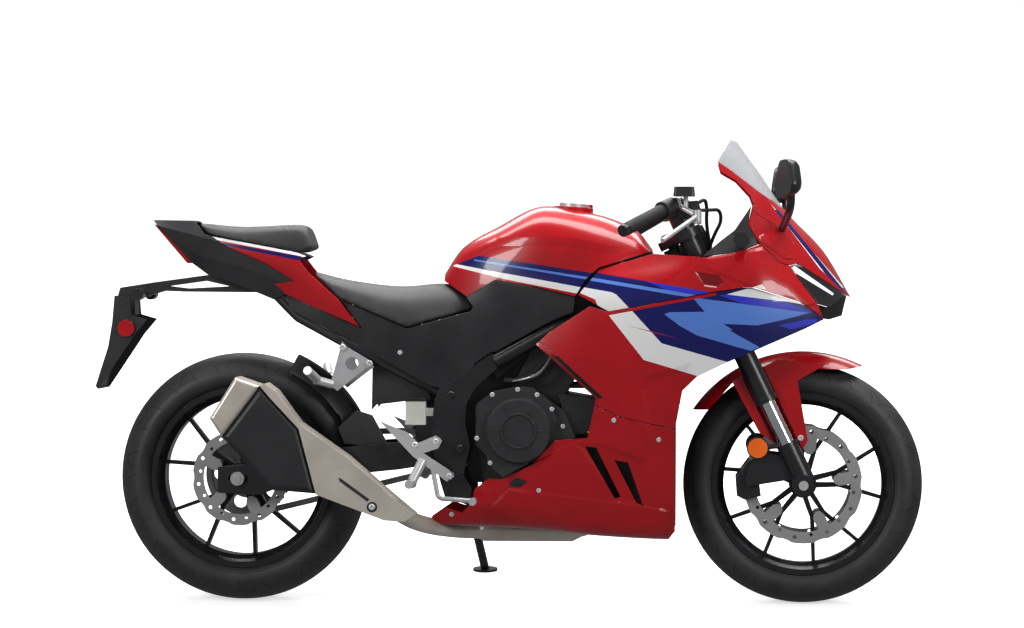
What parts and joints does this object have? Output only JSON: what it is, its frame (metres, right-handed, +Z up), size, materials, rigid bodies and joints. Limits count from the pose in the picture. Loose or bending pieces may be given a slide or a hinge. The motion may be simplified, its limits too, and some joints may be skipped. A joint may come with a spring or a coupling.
{
  "type": "sport motorcycle",
  "caption": "Faired sport motorcycle parked on its side stand, with steering, two turning wheels, folding stand and hinged fuel cap.",
  "frame": {"origin": "middle of the parked motorcycle's footprint, on the ground", "axes": "+X forward along the wheelbase, +Y to the rider's left, +Z up; the bike leans to +Y"},
  "size_m": [2.0769, 0.8172, 1.1556],
  "materials": {
    "red_paint": "gloss red paint",
    "red_plastic": "gloss red plastic with blue and white stripes",
    "black_plastic": "satin black plastic",
    "seat_cover": "grained black vinyl",
    "black_metal": "satin black paint",
    "wheel_paint": "satin black paint",
    "bare_steel": "brushed steel",
    "cast_alloy": "satin aluminium",
    "exhaust_steel": "brushed stainless steel",
    "muffler_black": "textured black",
    "spring": "black spring",
    "tyre": "tyre rubber",
    "grip_rubber": "soft rubber",
    "clear": "clear plastic",
    "signal_lens": "smoked lens",
    "red_lens": "red lens",
    "white_plastic": "milky plastic"
  },
  "bodies": {
    "root": {"chain": "bare_steel", "subframe": "black_metal", "engine": "black_metal", "engine_covers": "black_metal", "radiator": "black_metal", "muffler_body": "muffler_black", "muffler_cap": "exhaust_steel", "muffler_shield": "exhaust_steel", "exhaust_pipe": "exhaust_steel", "swingarm": "black_metal", "rear_axle": "bare_steel", "shock_absorber": "spring", "rear_caliper": "black_metal", "passenger_footrests": "cast_alloy", "rider_footrests": "cast_alloy", "frame": "black_metal", "fuel_tank": "red_paint", "rider_seat": "seat_cover", "passenger_seat": "seat_cover", "tail_side_panels": "red_plastic", "tail_cowl": "black_plastic", "side_covers": "black_plastic", "nose_cowl": "red_plastic", "windscreen": "clear", "headlamps": "clear", "upper_side_panels": "red_plastic", "side_fairings": "red_plastic", "lower_cowls": "red_plastic", "nose_trim": "black_plastic", "instrument_panel": "black_plastic", "mirrors": "black_plastic", "front_turn_signals": "signal_lens", "plate_bracket": "black_plastic", "rear_turn_signals": "signal_lens", "rear_lamps": "red_lens", "rear_mudguard": "black_plastic", "rear_fluid_box": "white_plastic"},
    "steering": {"fork_outer_tubes": "black_metal", "fork_inner_tubes": "cast_alloy", "fork_feet": "black_metal", "fork_yokes": "black_metal", "handlebars": "black_metal", "grips": "grip_rubber", "switch_housings": "black_plastic", "levers": "cast_alloy", "front_calipers": "black_metal", "front_mudguard": "red_plastic", "front_axle": "bare_steel"},
    "front_wheel_body": {"front_tyre": "tyre", "front_wheel": "wheel_paint", "front_discs": "bare_steel"},
    "rear_wheel_body": {"rear_tyre": "tyre", "rear_wheel": "wheel_paint", "rear_disc": "bare_steel", "rear_sprocket": "bare_steel"},
    "side_stand_body": {"side_stand": "black_metal"},
    "fuel_cap_body": {"fuel_cap": "cast_alloy"}
  },
  "joints": [
    {"name": "steering", "type": "hinge", "parent": "root", "child": "steering", "pos_m": [0.45892, -0.02352, 0.78921], "axis": [-0.4305, 0.1567, 0.8889], "range_deg": [-32, 32]},
    {"name": "front_wheel_spin", "type": "hinge", "parent": "steering", "child": "front_wheel_body", "pos_m": [0.7385, -0.11035, 0.29681], "axis": [0, 0.9848, -0.1736], "continuous": true},
    {"name": "rear_wheel_spin", "type": "hinge", "parent": "root", "child": "rear_wheel_body", "pos_m": [-0.6715, -0.10826, 0.30863], "axis": [0, 0.9848, -0.1736], "continuous": true},
    {"name": "side_stand_fold", "type": "hinge", "parent": "root", "child": "side_stand_body", "pos_m": [-0.1165, 0.03668, 0.2323], "axis": [0.0276, 0.9125, 0.408], "range_deg": [0, 90.5]},
    {"name": "fuel_cap_hinge", "type": "hinge", "parent": "root", "child": "fuel_cap_body", "pos_m": [0.20573, 0.01029, 0.98097], "axis": [0, 0.9848, -0.1736], "range_deg": [0, 100]}
  ]
}
